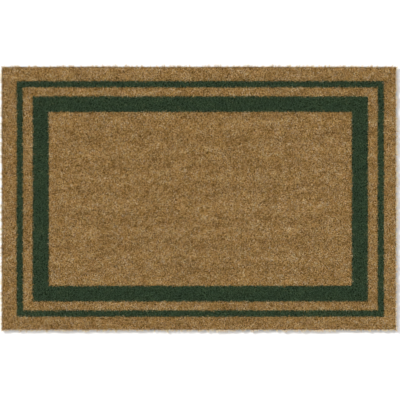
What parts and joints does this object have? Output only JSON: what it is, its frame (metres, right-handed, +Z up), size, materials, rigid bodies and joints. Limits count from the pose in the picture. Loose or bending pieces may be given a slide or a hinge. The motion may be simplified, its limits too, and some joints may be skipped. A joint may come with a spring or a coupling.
{
  "type": "door mat",
  "caption": "Rectangular coir door mat with a level pile, a vinyl backing, and a narrow and a wide green border line.",
  "frame": {"origin": "middle of the underside, on the surface that the mat lies on", "axes": "+X along the mat's length, +Y along its width towards the far long edge, +Z up out of the pile"},
  "size_m": [0.914, 0.61, 0.016],
  "materials": {
    "natural_coir": "undyed coir fibre, sheared level, matte, golden brown with paler and darker fibres",
    "green_coir": "coir fibre dyed dark forest green, sheared level, matte",
    "vinyl_backing": "charcoal vinyl, finely pebbled, dull"
  },
  "bodies": {
    "root": {"vinyl_backing": "vinyl_backing", "outer_natural_pile": "natural_coir", "narrow_green_pile": "green_coir", "middle_natural_pile": "natural_coir", "wide_green_pile": "green_coir", "centre_natural_pile": "natural_coir"}
  },
  "joints": []
}
